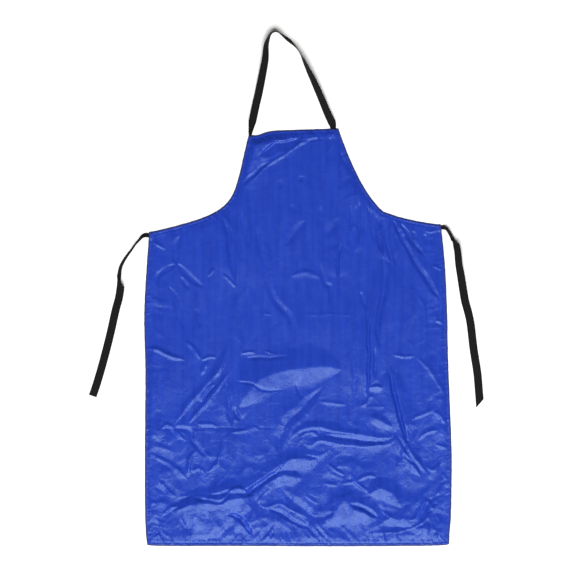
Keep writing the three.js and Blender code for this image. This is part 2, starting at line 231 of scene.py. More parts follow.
def tape_rings(route, first, last, sewn, shape_at, trim):
    """The centreline and the rings of a tape: from its sewn end along its route."""
    line = spline(route, TAPE_STEP)
    along = lengths_along(line)
    heading = np.gradient(line[:, :2], axis=0)
    heading /= np.hypot(*heading.T)[:, None]
    seat, outwards = first
    line[0, :2] = seat
    for seat_at, direction, from_end in [(seat, outwards, along)] + (
        [(last[0], -last[1], along[-1] - along)] if last else []
    ):
        share = smooth(from_end / TURNS_OVER)[:, None]
        heading = heading * share + np.array(direction) * (1 - share)
    heading /= np.hypot(*heading.T)[:, None]
    if last:
        line[-1, :2] = last[0]
    # The sewn ends run straight back under the hem.
    back = np.arange(sewn, 0.0005, -TAPE_STEP)
    before = np.array([[*(np.array(seat) - np.array(outwards) * b), line[0, 2]] for b in back])
    line = np.vstack([before, line])
    heading = np.vstack([np.tile(np.array(outwards), (len(back), 1)), heading])
    if last:
        after = np.array([
            [*(np.array(last[0]) - np.array(last[1]) * b), line[-1, 2]] for b in back[::-1]
        ])
        line = np.vstack([line, after])
        heading = np.vstack([heading, np.tile(-np.array(last[1]), (len(back), 1))])
    if trim:
        line, heading = line[:-trim], heading[:-trim]
    along = lengths_along(line)
    rings, centres = [], []
    for (x, y, lean), (ahead_x, ahead_y), a in zip(line, heading, along):
        fold, gather = shape_at(a - sewn, along[-1] - sewn - a)
        section, across = tape_section(math.radians(lean), fold, gather)
        section[:, 1] -= section[:, 1].min()
        section[:, 1] += OFF_FLOOR
        centres.append((x, y, float(section[:, 1].max()) / 2))
        rings.append([
            (x - ahead_y * side, y + ahead_x * side, up) for side, up in section
        ])
    return np.array(centres), np.array(rings), across, along


def make_tape(name, rings, across, along, material):
    """Skins a tape's rings, closes both ends, and keeps its own across and along as a UV map."""
    count, around = rings.shape[:2]
    faces = []
    for k in range(count - 1):
        for i in range(around):
            j = (i + 1) % around
            faces.append((k * around + i, k * around + j, (k + 1) * around + j, (k + 1) * around + i))
    for k in (0, count - 1):
        for i in range(around // 2 - 1):
            j = around - 1 - i
            quad = tuple(k * around + n for n in (i, i + 1, j - 1, j))
            faces.append(quad if k == 0 else quad[::-1])
    piece = mesh_object(name, rings.reshape(-1, 3), faces, material)
    tell = piece.data.uv_layers.new(name="tape")
    places = np.array([(across[v % around], along[v // around]) for v in range(count * around)])
    corners = np.zeros(len(piece.data.loops), int)
    piece.data.loops.foreach_get("vertex_index", corners)
    tell.data.foreach_set("uv", places[corners].reshape(-1))
    return piece


# ---------------------------------------------------------------- materials


def linear(hex_colour):
    """An sRGB hex colour as linear red, green, blue and alpha."""
    found = []
    for i in (1, 3, 5):
        c = int(hex_colour[i:i + 2], 16) / 255
        found.append(c / 12.92 if c <= 0.04045 else ((c + 0.055) / 1.055) ** 2.4)
    return (*found, 1.0)


def add(tree, kind, settings=None, links=None):
    """Adds a node with its settings, and links sockets of other nodes into it."""
    node = tree.nodes.new(kind)
    for name, value in (settings or {}).items():
        if isinstance(name, str) and hasattr(node, name):
            setattr(node, name, value)
        else:
            node.inputs[name].default_value = value
    for name, source in (links or {}).items():
        tree.links.new(source, node.inputs[name])
    return node


def new_material(name, shader_settings):
    """An empty material with its shader and output: the node tree and the shader."""
    material = bpy.data.materials.new(name)
    material.use_nodes = True
    tree = material.node_tree
    tree.nodes.clear()
    shader = add(tree, "ShaderNodeBsdfPrincipled", shader_settings)
    add(tree, "ShaderNodeOutputMaterial", links={"Surface": shader.outputs["BSDF"]})
    return material, tree, shader


def two_colours(tree, factor, first, second):
    """A colour between two, by a factor from 0 to 1."""
    mix = add(tree, "ShaderNodeMix", {"data_type": "RGBA"}, {0: factor})
    mix.inputs[6].default_value = linear(first)
    mix.inputs[7].default_value = linear(second)
    return mix.outputs[2]


def coated_taffeta():
    """Polyester taffeta with a knife-spread polyurethane film: a smooth, half-glossy blue
    skin that keeps small sharp crumples, with the warp showing as faint lines."""
    material, tree, shader = new_material(
        "polyurethane_coated_taffeta",
        {"IOR": 1.5, "Roughness": 0.3, "Specular IOR Level": 0.26, "Specular Tint": (0.64, 0.9, 0.86, 1.0)},
    )
    place = add(tree, "ShaderNodeTexCoord").outputs["Object"]
    # Warp lines, really 0.3 mm apart: drawn 4 mm apart so that they show.
    warp_place = add(tree, "ShaderNodeMapping", {"Scale": (1 / 0.004, 1 / 0.12, 1.0)}, {0: place})
    warp = add(
        tree, "ShaderNodeTexNoise", {"Scale": 1.0, "Detail": 2.0}, {"Vector": warp_place.outputs[0]}
    ).outputs[0]
    # The film's crumples, 10 to 30 mm across.
    crumple = add(
        tree, "ShaderNodeTexNoise",
        {"Scale": 1 / 0.022, "Detail": 4.0, "Roughness": 0.55, "Distortion": 0.8},
        {"Vector": place},
    ).outputs[0]
    # Bands of slightly uneven dye, 10 to 20 mm wide and long with the warp.
    band_place = add(tree, "ShaderNodeMapping", {"Scale": (1 / 0.013, 1 / 0.16, 1.0)}, {0: place})
    cloud = add(
        tree, "ShaderNodeTexNoise", {"Scale": 1.0, "Detail": 3.0}, {"Vector": band_place.outputs[0]}
    ).outputs[0]
    tone = add(tree, "ShaderNodeMapRange", {1: 0.3, 2: 0.7}, {0: cloud}).outputs[0]
    streak = add(tree, "ShaderNodeMath", {"operation": "MULTIPLY", 1: 0.35}, {0: warp}).outputs[0]
    depth = add(
        tree, "ShaderNodeMath", {"operation": "MULTIPLY_ADD", 1: 0.65}, {0: tone, 2: streak}
    ).outputs[0]
    tree.links.new(two_colours(tree, depth, CLOTH_DEEP, CLOTH_PALE), shader.inputs["Base Color"])
    rough = add(
        tree, "ShaderNodeMapRange", {1: 0.35, 2: 0.7, 3: 0.25, 4: 0.36}, {0: crumple}
    ).outputs[0]
    tree.links.new(rough, shader.inputs["Roughness"])
    small = add(
        tree, "ShaderNodeBump", {"Strength": 1.0, "Distance": 0.00032}, {"Height": warp}
    ).outputs[0]
    # The film is smooth over the chest and the most crumpled in its lower third.
    parts = add(tree, "ShaderNodeSeparateXYZ", links={0: place})
    low_down = add(
        tree, "ShaderNodeMapRange", {1: 0.0, 2: -0.25, 3: 0.28, 4: 1.0}, {0: parts.outputs[1]}
    ).outputs[0]
    big = add(
        tree, "ShaderNodeBump", {"Distance": 0.0013},
        {"Height": crumple, "Normal": small, "Strength": low_down},
    ).outputs[0]
    tree.links.new(big, shader.inputs["Normal"])
    return material


def painted_edge_shade():
    """The same cloth where it is turned over three times and stitched hard: the film is
    creased and dull. Its colour is darker: painted shade for the rolled edge, which turns away from the
    light."""
    material, tree, shader = new_material(
        "hem_edge_painted_shade", {"IOR": 1.5, "Roughness": 0.6, "Specular IOR Level": 0.3}
    )
    place = add(tree, "ShaderNodeTexCoord").outputs["Object"]
    crease = add(
        tree, "ShaderNodeTexNoise", {"Scale": 1 / 0.006, "Detail": 3.0}, {"Vector": place}
    ).outputs[0]
    tree.links.new(two_colours(tree, crease, EDGE_SHADE_DEEP, EDGE_SHADE_PALE), shader.inputs["Base Color"])
    bump = add(
        tree, "ShaderNodeBump", {"Strength": 0.6, "Distance": 0.0004}, {"Height": crease}
    ).outputs[0]
    tree.links.new(bump, shader.inputs["Normal"])
    return material


def herringbone_tape():
    """Black polyester tape woven in a herringbone: matt, with slanting ribs that turn at each
    column and plainer, darker selvedges."""
    material, tree, shader = new_material(
        "woven_polyester_tape", {"IOR": 1.45, "Roughness": 0.85, "Specular IOR Level": 0.25}
    )
    place = add(tree, "ShaderNodeUVMap", {"uv_map": "tape"}).outputs[0]
    parts = add(tree, "ShaderNodeSeparateXYZ", links={0: place})
    # Columns 3.2 mm wide. Ribs, really 1.2 mm apart, are drawn 2.6 mm apart to show.
    column = add(
        tree, "ShaderNodeMath", {"operation": "PINGPONG", 1: 0.0032}, {0: parts.outputs[0]}
    ).outputs[0]
    slant = add(
        tree, "ShaderNodeMath", {"operation": "ADD"}, {0: parts.outputs[1], 1: column}
    ).outputs[0]
    turns = add(
        tree, "ShaderNodeMath", {"operation": "MULTIPLY", 1: 2 * math.pi / 0.0026}, {0: slant}
    ).outputs[0]
    rib = add(tree, "ShaderNodeMath", {"operation": "SINE"}, {0: turns}).outputs[0]
    height = add(tree, "ShaderNodeMapRange", {1: -1.0, 2: 1.0}, {0: rib}).outputs[0]
    side = add(
        tree, "ShaderNodeMath", {"operation": "ABSOLUTE"}, {0: parts.outputs[0]}
    ).outputs[0]
    selvedge = add(
        tree, "ShaderNodeMapRange", {1: 0.0066, 2: 0.0078}, {0: side}
    ).outputs[0]
    fuzz = add(
        tree, "ShaderNodeTexNoise", {"Scale": 1 / 0.0016, "Detail": 3.0}, {"Vector": place}
    ).outputs[0]
    shade = add(
        tree, "ShaderNodeMath", {"operation": "MULTIPLY"}, {0: height, 1: fuzz}
    ).outputs[0]
    middle = two_colours(tree, shade, TAPE_DEEP, TAPE_PALE)
    colour = add(tree, "ShaderNodeMix", {"data_type": "RGBA"}, {0: selvedge, 6: middle})
    colour.inputs[7].default_value = linear(TAPE_SELVEDGE)
    tree.links.new(colour.outputs[2], shader.inputs["Base Color"])
    both = add(
        tree, "ShaderNodeMath", {"operation": "MULTIPLY_ADD", 1: 0.4}, {0: fuzz, 2: height}
    ).outputs[0]
    bump = add(
        tree, "ShaderNodeBump", {"Strength": 0.8, "Distance": 0.0003}, {"Height": both}
    ).outputs[0]
    tree.links.new(bump, shader.inputs["Normal"])
    return material


def sewing_thread(name, deep, pale):
    """Spun polyester thread: a soft twisted yarn, a little lighter along each ply."""
    material, tree, shader = new_material(name, {"IOR": 1.5, "Roughness": 0.6})
    place = add(tree, "ShaderNodeTexCoord").outputs["Object"]
    # Plies 0.25 mm apart.
    ply = add(tree, "ShaderNodeTexWave", {"Scale": 1 / 0.0008}, {"Vector": place}).outputs[1]
    tree.links.new(two_colours(tree, ply, deep, pale), shader.inputs["Base Color"])
    bump = add(
        tree, "ShaderNodeBump", {"Strength": 0.5, "Distance": 0.0001}, {"Height": ply}
    ).outputs[0]
    tree.links.new(bump, shader.inputs["Normal"])
    return material


def painted_floor():
    """A matt white studio board, with the slightest mottle of its paint."""
    material, tree, shader = new_material("white_studio_board", {"Roughness": 0.9})
    place = add(tree, "ShaderNodeTexCoord").outputs["Object"]
    mottle = add(tree, "ShaderNodeTexNoise", {"Scale": 1 / 0.3}, {"Vector": place}).outputs[0]
    tree.links.new(two_colours(tree, mottle, "#f2f2f1", "#f6f6f5"), shader.inputs["Base Color"])
    return material


CLOTH_DEEP = "#183096"
CLOTH_PALE = "#203da9"
TAPE_DEEP = "#060606"
TAPE_PALE = "#181817"
TAPE_SELVEDGE = "#040404"
# Painted shade: the hem edge colours are darker than the cloth, standing in for the shade on its rolled
# edge.
EDGE_SHADE_DEEP = "#15215e"
EDGE_SHADE_PALE = "#1c2e78"
cloth_finish = coated_taffeta()
edge_shade_finish = painted_edge_shade()
tape_finish = herringbone_tape()
blue_thread = sewing_thread("blue_polyester_thread", "#101d58", "#1c3080")


# ---------------------------------------------------------------- the three tapes

# How far each tie stays folded lengthwise from its seam, and the length that it opens over.
LEFT_STAYS_FOLDED = 0.118
LEFT_OPENS_OVER = 0.040
RIGHT_STAYS_FOLDED = 0.040
RIGHT_OPENS_OVER = 0.026
# The neck strap's ends: the share of its width when gathered, and the length that it opens over.
NECK_LEFT_GATHERED = 0.26
NECK_LEFT_OVER = 0.034
NECK_RIGHT_GATHERED = 0.68
NECK_RIGHT_OVER = 0.014
# The right tie's end: the rings that its slant takes up, and those cut off to leave its length.
SLANT_RINGS = 9
SLANT_CUT_OFF = 4


def neck_shape(from_left, from_right):
    """Gathered to a quarter where its left end is sewn, and a little at its right end."""
    left = NECK_LEFT_GATHERED
    left += (1 - NECK_LEFT_GATHERED) * min(1.0, max(0.0, from_left) / NECK_LEFT_OVER)
    right = NECK_RIGHT_GATHERED
    right += (1 - NECK_RIGHT_GATHERED) * min(1.0, max(0.0, from_right) / NECK_RIGHT_OVER)
    return 0.0, min(left, right)


def left_tie_shape(from_seam, _):
    """Folded lengthwise where it is sewn, and open again further on."""
    return float(1 - smooth((from_seam - LEFT_STAYS_FOLDED) / LEFT_OPENS_OVER)), 1.0


def right_tie_shape(from_seam, _):
    """As the left tie, but it opens sooner."""
    return float(1 - smooth((from_seam - RIGHT_STAYS_FOLDED) / RIGHT_OPENS_OVER)), 1.0


def cut_aslant(rings):
    """The right tie's end is cut on a slant: its point is on the panel's side."""
    last = rings[-1]
    ahead = last.mean(0) - rings[-4].mean(0)
    ahead /= np.linalg.norm(ahead)
    side = last - last.mean(0)
    right = side[:, 0] * ahead[1] - side[:, 1] * ahead[0]
    for k in range(SLANT_RINGS):
        rings[-1 - k] += ahead * (right * (1 - k / SLANT_RINGS) ** 2)[:, None]


def build_tape(name, route, first, last, sewn, shape_at, nodes):
    trim = SLANT_CUT_OFF if name == "right_tie" else 0
    centres, rings, across, along = tape_rings(
        route, SEATS[first], last and SEATS[last], sewn, shape_at, trim
    )
    if name == "right_tie":
        cut_aslant(rings)
    piece = make_tape(f"woven_{name}", rings, across, along, tape_finish)
    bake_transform(piece)
    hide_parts(*nodes)
    return piece


neck_strap = build_tape(
    "neck_strap", NECK_ROUTE, "neck_left", "neck_right", NECK_SEWN, neck_shape,
    ["neck_strap", "neck_strap_left_sewn_end", "neck_strap_right_sewn_end"],
)
left_tie = build_tape(
    "left_tie", LEFT_TIE_ROUTE, "left_tie", None, TIE_SEWN, left_tie_shape,
    ["left_tie", "left_tie_sewn_end"],
)
right_tie = build_tape(
    "right_tie", RIGHT_TIE_ROUTE, "right_tie", None, TIE_SEWN, right_tie_shape,
    ["right_tie", "right_tie_sewn_end"],
)


# ---------------------------------------------------------------- the panel's outline


def bezier(a, b, c, d, count=200):
    """Points along a cubic Bezier curve."""
    t = np.linspace(0, 1, count)[:, None]
    a, b, c, d = (np.array(p, float) for p in (a, b, c, d))
    return (1 - t)**3 * a + 3 * (1 - t)**2 * t * b + 3 * (1 - t) * t**2 * c + t**3 * d


SKIRT_LEFT, SKIRT_RIGHT = (-0.3700, -0.5088), (0.3706, -0.5068)
WAIST_LEFT, WAIST_RIGHT = (-0.3650, 0.2570), (0.3505, 0.2755)
BIB_LEFT, BIB_RIGHT = (-0.1215, 0.4935), (0.0995, 0.5115)
ARMHOLE_KINK = (0.2098, 0.3079)

OUTLINE_STEP = 0.004

# The edges in order, anticlockwise seen from the front.
EDGES = {
    "skirt": spline([
        SKIRT_LEFT, (-0.3620, -0.5106), (-0.3500, -0.5112), (-0.3250, -0.5118),
        (-0.2800, -0.5120), (-0.2000, -0.5118), (-0.1000, -0.5121), (0.0300, -0.5127),
        (0.1400, -0.5127), (0.2200, -0.5121), (0.2800, -0.5117), (0.3250, -0.5111),
        (0.3500, -0.5102), (0.3640, -0.5092), SKIRT_RIGHT,
    ], OUTLINE_STEP),
    "right_side": spline([
        SKIRT_RIGHT, (0.3718, -0.4780), (0.3745, -0.4450), (0.3762, -0.3900),
        (0.3768, -0.2795), (0.3720, -0.1525), (0.3678, -0.0415), (0.3655, 0.0700),
        (0.3605, 0.1750), WAIST_RIGHT,
    ], OUTLINE_STEP),
    "right_armhole": np.vstack([
        spline([WAIST_RIGHT, (0.3060, 0.2818), (0.2510, 0.2940), ARMHOLE_KINK], OUTLINE_STEP),
        bezier(ARMHOLE_KINK, (0.1560, 0.3510), (0.1145, 0.4655), BIB_RIGHT)[1:],
    ]),
    "bib": spline([
        BIB_RIGHT, (0.0055, 0.5085), (-0.0625, 0.5055), (-0.0995, 0.4955), BIB_LEFT,
    ], OUTLINE_STEP),
    "left_armhole": bezier(BIB_LEFT, (-0.1665, 0.3225), (-0.1320, 0.3105), WAIST_LEFT),
    "left_side": spline([
        WAIST_LEFT, (-0.3768, 0.0655), (-0.3742, -0.0900), (-0.3755, -0.3000),
        (-0.3752, -0.4100), (-0.3735, -0.4700), SKIRT_LEFT,
    ], OUTLINE_STEP),
}


def evenly(points, step):
    """The same line with its points a step apart."""
    along = lengths_along(points)
    places = np.linspace(0, along[-1], max(2, round(along[-1] / step)) + 1)
    return np.stack([np.interp(places, along, points[:, i]) for i in range(2)], 1)


# Random heights on a square grid, and in rows. The shifts keep places on it above nought.
GRID = 97
SHIFT_U, SHIFT_V = 40.37, 40.71
RIBS = 4096
RIB_ROWS = 64
RIB_SHIFT, ROW_SHIFT = 900.3, 8.5


def soft_bumps(x, y, size, seed):
    """Soft random bumps about size across, from -1 to 1, the same in every run."""
    grid = np.random.default_rng(seed).uniform(-1, 1, (GRID, GRID))
    c, s = math.cos(seed), math.sin(seed)
    u, v = (x * c - y * s) / size + SHIFT_U, (x * s + y * c) / size + SHIFT_V
    i, j = np.floor(u).astype(int), np.floor(v).astype(int)
    fu, fv = smooth(u - i), smooth(v - j)
    low = grid[i % GRID, j % GRID] * (1 - fu) + grid[(i + 1) % GRID, j % GRID] * fu
    high = grid[i % GRID, (j + 1) % GRID] * (1 - fu) + grid[(i + 1) % GRID, (j + 1) % GRID] * fu
    return low * (1 - fv) + high * fv


def ribbed_bumps(along, across, size, seed):
    """Bumps in rows: they vary along a line, and more slowly across it."""
    grid = np.random.default_rng(seed).uniform(-1, 1, RIBS)
    u = along / size + RIB_SHIFT + across / size * 0.2
    i = np.floor(u).astype(int)
    f = smooth(u - i)
    drift = np.random.default_rng(seed + 1).uniform(-1, 1, (RIBS, RIB_ROWS))
    v = across / (size * 3) + ROW_SHIFT
    j = np.floor(v).astype(int)
    g = smooth(v - j)

    def row(k):
        return drift[i % RIBS, (j + k) % RIB_ROWS] * (1 - f) + drift[(i + 1) % RIBS, (j + k) % RIB_ROWS] * f

    whole = grid[i % RIBS] * (1 - f) + grid[(i + 1) % RIBS] * f
    return 0.5 * whole + row(0) * (1 - g) + row(1) * g


# How far the small creases wander, over bumps of what size, and the three sizes' shares.
WANDER = 0.013
WANDER_SIZE = 0.048
WIDE_SHARE, SMALL_SHARE, TINY_SHARE = 0.62, 0.26, 0.12


def crumples(x, y):
    """Small sharp creases running every way, as a film keeps, from 0 to 1."""
    bent_x = x + soft_bumps(x, y, WANDER_SIZE, 41) * WANDER
    bent_y = y + soft_bumps(x, y, WANDER_SIZE, 42) * WANDER
    broad = soft_bumps(bent_x, bent_y, 0.034, 43) + soft_bumps(bent_x, bent_y, 0.021, 44) * 0.6
    wide = 1 - np.abs(broad)
    small = 1 - np.abs(soft_bumps(bent_x, bent_y, 0.014, 45))
    tiny = 1 - np.abs(soft_bumps(bent_x, bent_y, 0.0085, 46))
    return wide * WIDE_SHARE + small * SMALL_SHARE + tiny * TINY_SHARE


def facets(x, y, size, seed):
    """Flat facets with sharp creases between them, as crumpled film keeps, from -1 to 1."""
    grid = np.random.default_rng(seed).uniform(-1, 1, (GRID, GRID))
    split = np.random.default_rng(seed + 1).random((GRID, GRID)) < 0.5
    c, s = math.cos(seed), math.sin(seed)
    u = (x * c - y * s) / size + SHIFT_U + soft_bumps(x, y, size * 1.6, seed + 2) * 0.7
    v = (x * s + y * c) / size + SHIFT_V + soft_bumps(x, y, size * 1.6, seed + 3) * 0.7
    i, j = np.floor(u).astype(int), np.floor(v).astype(int)
    fu, fv = u - i, v - j
    p, q = grid[i % GRID, j % GRID], grid[(i + 1) % GRID, j % GRID]
    r, t = grid[i % GRID, (j + 1) % GRID], grid[(i + 1) % GRID, (j + 1) % GRID]
    rising = np.where(fu > fv, p + (q - p) * fu + (t - q) * fv, p + (t - r) * fu + (r - p) * fv)
    falling = np.where(
        fu + fv < 1, p + (q - p) * fu + (r - p) * fv, t + (r - t) * (1 - fu) + (q - t) * (1 - fv)
    )
    return np.where(split[i % GRID, j % GRID], rising, falling)


def spread_round(values, reach):
    """Each value of a closed loop averaged with its neighbours up to reach away, twice."""
    for _ in range(2):
        total = sum(np.roll(values, k, axis=0) for k in range(-reach, reach + 1))
        values = total / (2 * reach + 1)
    return values


EDGE_STEP = 0.0030
ROLL = 0.0008
EDGE_SHADE_BAND = 0.0038
UNEVEN = 0.00035
SET_IN = 0.0003
outline = np.vstack([evenly(line, EDGE_STEP)[:-1] for line in EDGES.values()])
edge_names = np.concatenate([
    [name] * (len(evenly(line, EDGE_STEP)) - 1) for name, line in EDGES.items()
])
tangent = np.roll(outline, -1, axis=0) - np.roll(outline, 1, axis=0)
outwards = np.stack([tangent[:, 1], -tangent[:, 0]], 1)
outwards /= np.hypot(*outwards.T)[:, None]
outwards = spread_round(outwards, 3)
outwards /= np.hypot(*outwards.T)[:, None]
edge_place = np.arange(len(outline)) * EDGE_STEP
# The sewn edge is a little uneven.
uneven = soft_bumps(edge_place, edge_place * 0, 0.009, 3) * UNEVEN
outline = outline + outwards * (uneven - SET_IN)[:, None]
inner_edge = outline - outwards * ROLL
# Between this line and the edge, the faces take the darker hem edge material: painted shade for the rolled
# edge.
trim_edge = outline - outwards * EDGE_SHADE_BAND

# ---------------------------------------------------------------- the panel's folds

# Millimetres. A ridge is its height, the width of its front side (right of the way it is
# drawn) and of its back side, and the line of its crest.
RIDGES = [
    # Bib.
    (6.4, 48, 22, [(-141, 388), (-131, 430), (-117, 464), (-84, 473), (-44, 478), (-8, 484)]),
    (2.5, 5, 15, [
        (-139, 361), (-126, 373), (-107, 391), (-86, 413), (-67, 429), (-49, 439), (-30, 451),
        (-9, 465), (7, 476), (18, 481), (42, 489), (60, 494),
    ]),
    (1.5, 5, 6, [(-99, 441), (-86, 437), (-71, 439)]),
    (1.5, 3.1, 12, [(-139, 376), (-112, 399), (-89, 422), (-73, 438)]),
    (1.4, 3.1, 4, [(-155, 346), (-146, 357)]),
    (1.2, 3.1, 4, [(-174, 322), (-163, 336)]),
    # Upper body.
    (1.5, 3.1, 5, [(-185, 158), (-152, 121)]),
    (1.5, 3.7, 6, [(-360, 237), (-323, 216)]),
    (1.2, 3.7, 6, [(-222, 147), (-205, 172)]),
    (1.5, 11, 6, [(-18, 148), (3, 156), (23, 158), (58, 148)]),
    (1.2, 4.3, 7, [(289, 112), (309, 65), (306, -3)]),
    (0.8, 3.1, 4, [(-87, 59), (-57, 58)]),
    (0.5, 3.1, 4, [(-7, 55), (63, 56), (143, 54)]),
    (1.6, 3.7, 6, [(325, 175), (353, 164)]),
    (1.8, 3.7, 6, [(338, 41), (359, 34)]),
    (1.5, 3.7, 5, [(310, 269), (323, 261), (347, 267)]),
    # Left middle.
    (2.8, 5.6, 7, [(-375, -28), (-342, -31), (-315, -44), (-276, -57)]),
    (2.1, 4.3, 7, [(-273, -9), (-256, -29), (-237, -53)]),
    (1.8, 3.7, 5, [(-237, -54), (-217, -48), (-200, -51)]),
    (2.0, 5, 8, [(-237, -93), (-221, -57)]),
    (2.8, 5.6, 14, [
        (-307, -217), (-272, -174), (-237, -132), (-215, -107), (-193, -81), (-175, -37), (-170, -7),
    ]),
    (2.5, 5, 8, [(-280, -221), (-256, -197), (-222, -157), (-195, -123), (-166, -83)]),
    (2.8, 5.6, 8, [(-340, -227), (-322, -214), (-305, -223), (-287, -242), (-266, -258)]),
    (1.8, 5.6, 6, [(-253, -211), (-212, -214), (-196, -223)]),
    (1.5, 6.2, 6, [(-167, -234), (-137, -227), (-107, -222), (-91, -228)]),
    # Middle.
    (1.8, 3.7, 4, [(-140, -41), (-122, -38), (-103, -38)]),
    (1.8, 3.7, 4, [(-83, -33), (-62, -38), (-40, -43)]),
    (1.2, 3.7, 4, [(-2, -40), (38, -42)]),
    (6.6, 44, 55, [
        (-150, -181), (-133, -152), (-116, -130), (-92, -102), (-60, -89), (-26, -81), (20, -75),
        (55, -72), (85, -74), (110, -82),
    ]),
    (1.2, 4.3, 5, [(47, -157), (83, -161), (119, -167)]),
    (0.8, 3.7, 5, [(163, -169), (229, -173)]),
    # Right middle.
    (3.2, 14, 5, [(174, -124), (193, -120), (214, -127)]),
    (2.0, 6.2, 5, [(156, -168), (170, -157), (180, -136)]),
    (3.2, 16, 14, [(172, -193), (203, -206), (234, -223)]),
    (1.4, 3.7, 5, [(232, -43), (263, -48), (289, -45)]),
    (1.5, 5, 8, [(289, -45), (323, -79), (364, -152)]),
    (2.8, 5.6, 14, [
        (-35, -268), (-17, -247), (8, -225), (29, -221), (58, -222), (113, -232), (169, -242),
        (224, -246), (237, -226),
    ]),
    (2.5, 5, 14, [
        (10, -259), (30, -264), (55, -253), (88, -262), (138, -266), (213, -264), (242, -247),
    ]),
    (1.5, 3.1, 5, [(5, -244), (28, -231), (55, -242)]),
    (4.2, 11, 8, [(236, -234), (255, -275), (278, -309), (302, -342)]),
    (3.4, 9, 8, [(238, -218), (263, -262), (288, -296), (313, -333)]),
    (1.5, 3.7, 6, [(265, -208), (289, -197), (308, -189), (343, -171)]),
    (2.5, 5.6, 7, [(328, -179), (348, -192), (365, -213)]),
    (2.0, 4.3, 7, [(293, -252), (313, -234), (344, -225)]),
    (2.0, 4.3, 6, [(337, -263), (369, -273)]),
    # Lower left.
    (2.5, 5, 8, [(-363, -281), (-332, -302), (-301, -322), (-268, -348)]),
    (2.5, 5.6, 7, [(-271, -343), (-261, -292), (-244, -271)]),
    (2.0, 5, 8, [(-244, -271), (-227, -283), (-211, -297)]),
    (2.0, 4.3, 7, [(-222, -331), (-196, -306), (-186, -255)]),
    (1.2, 3.7, 6, [(-262, -330), (-244, -320), (-226, -333)]),
    (2.2, 5, 8, [(-341, -350), (-322, -372), (-298, -393)]),
    (3.7, 7.4, 20, [
        (-300, -395), (-262, -389), (-222, -384), (-187, -375), (-162, -369), (-127, -369),
        (-87, -342), (-47, -316), (-17, -296), (28, -288), (53, -292), (84, -270),
    ]),
    (5.9, 28, 10, [(-175, -378), (-147, -370), (-120, -377)]),
    (8.5, 75, 24, [(-310, -428), (-272, -415), (-232, -403), (-177, -400), (-137, -392), (-100, -388)]),
    (2.0, 4.3, 7, [(-98, -408), (-87, -386), (-66, -367)]),
    (2.1, 4.3, 9, [(-97, -408), (-76, -417), (-46, -409), (-16, -422), (24, -442), (65, -463)]),
    (5.2, 28, 16, [(-47, -332), (-17, -298), (28, -301), (53, -295)]),
    (3.9, 24, 14, [(-65, -358), (-37, -340), (10, -343)]),
    (2.5, 5, 8, [(-338, -443), (-317, -422), (-296, -412), (-226, -412)]),
    (2.1, 4.3, 7, [(-340, -448), (-336, -473), (-311, -492), (-281, -500)]),
    (2.0, 14, 8, [(-372, -408), (-322, -400)]),
    # Lower right.
    (6.5, 40, 34, [(60, -455), (93, -427), (115, -400), (143, -417), (184, -443)]),
    (4.5, 26, 26, [(170, -386), (208, -371), (240, -392), (252, -416)]),
    (2.0, 4.3, 7, [(202, -423), (238, -447), (254, -447), (264, -412)]),
    (2.1, 4.3, 7, [(128, -327), (138, -352), (179, -383)]),
    (2.0, 5, 6, [(135, -353), (173, -340), (194, -345)]),
    (1.0, 3.7, 5, [(103, -358), (138, -355)]),
    (1.8, 4.3, 5, [(72, -311), (93, -327), (114, -338)]),
    (1.5, 3.7, 5, [(65, -358), (94, -362)]),
    (1.2, 3.7, 5, [(13, -383), (38, -400), (54, -408)]),
    (2.5, 5, 8, [(258, -447), (288, -443), (313, -403), (334, -428)]),
    (2.8, 5.6, 10, [(163, -482), (238, -477), (279, -467), (314, -446), (339, -417)]),
    (1.8, 4.3, 6, [(312, -318), (333, -327), (354, -307)]),
    (1.8, 4.3, 6, [(352, -332), (369, -353)]),
    (2.0, 5, 7, [(338, -388), (363, -358)]),
]

